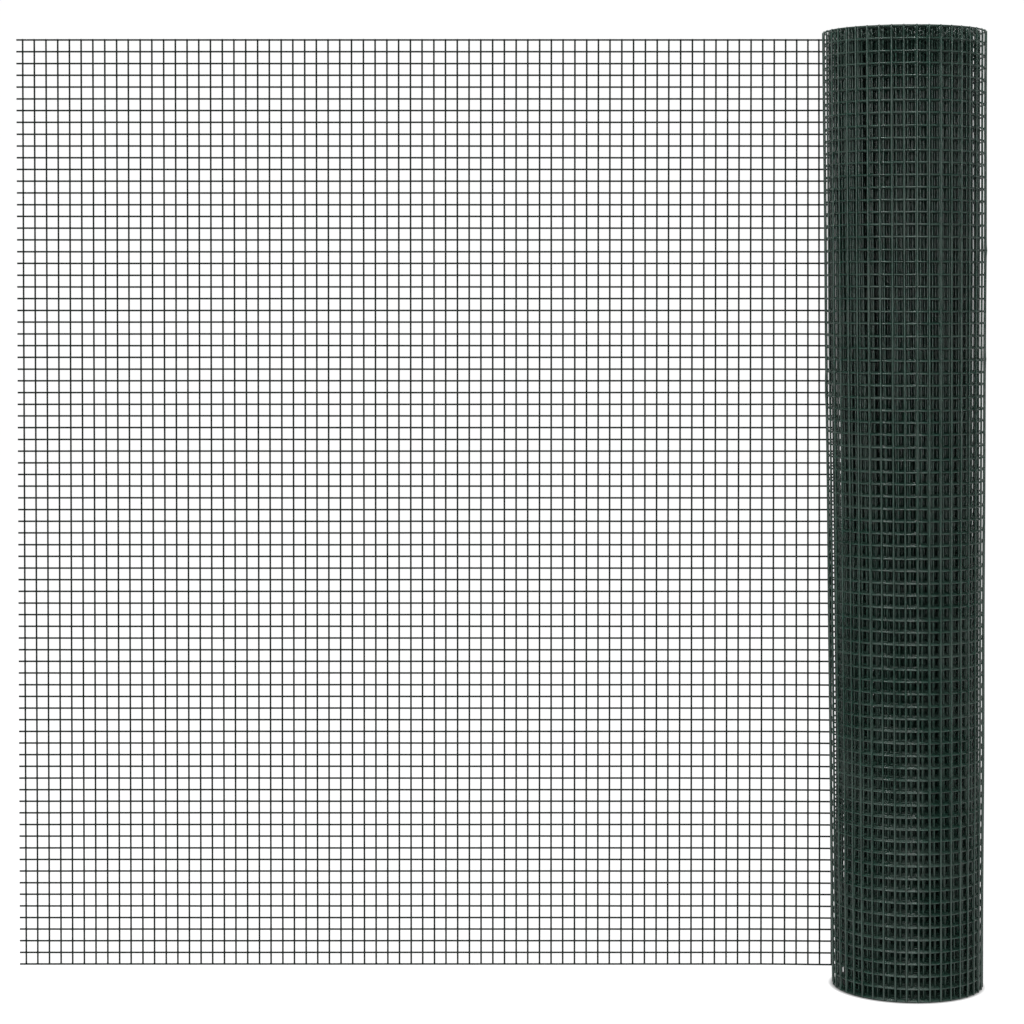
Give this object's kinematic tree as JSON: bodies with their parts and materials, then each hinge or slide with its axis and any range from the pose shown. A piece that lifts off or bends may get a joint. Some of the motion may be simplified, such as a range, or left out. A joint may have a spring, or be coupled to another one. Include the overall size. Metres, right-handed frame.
{
  "type": "welded wire mesh roll",
  "caption": "Roll of plastic-coated welded wire mesh fencing standing on end, its free end unrolled as a flat panel; fences, cages and plant supports are cut from it.",
  "frame": {"origin": "on the roll's axis, at the end that it stands on", "axes": "+Z along the roll's axis, upwards; the flat free end leaves the roll's +Y side and runs towards -X"},
  "size_m": [1.0346, 0.168, 1.0052],
  "materials": {
    "coated_wire": "dark green plastic coat over galvanised steel wire"
  },
  "bodies": {
    "root": {"roll": "coated_wire", "panel_row1_tile1": "coated_wire", "panel_row1_tile2": "coated_wire", "panel_row1_tile3": "coated_wire", "panel_row2_tile1": "coated_wire", "panel_row2_tile2": "coated_wire", "panel_row2_tile3": "coated_wire", "panel_row3_tile1": "coated_wire", "panel_row3_tile2": "coated_wire", "panel_row3_tile3": "coated_wire", "panel_row4_tile1": "coated_wire", "panel_row4_tile2": "coated_wire", "panel_row4_tile3": "coated_wire", "panel_row5_tile1": "coated_wire", "panel_row5_tile2": "coated_wire", "panel_row5_tile3": "coated_wire"}
  },
  "joints": []
}
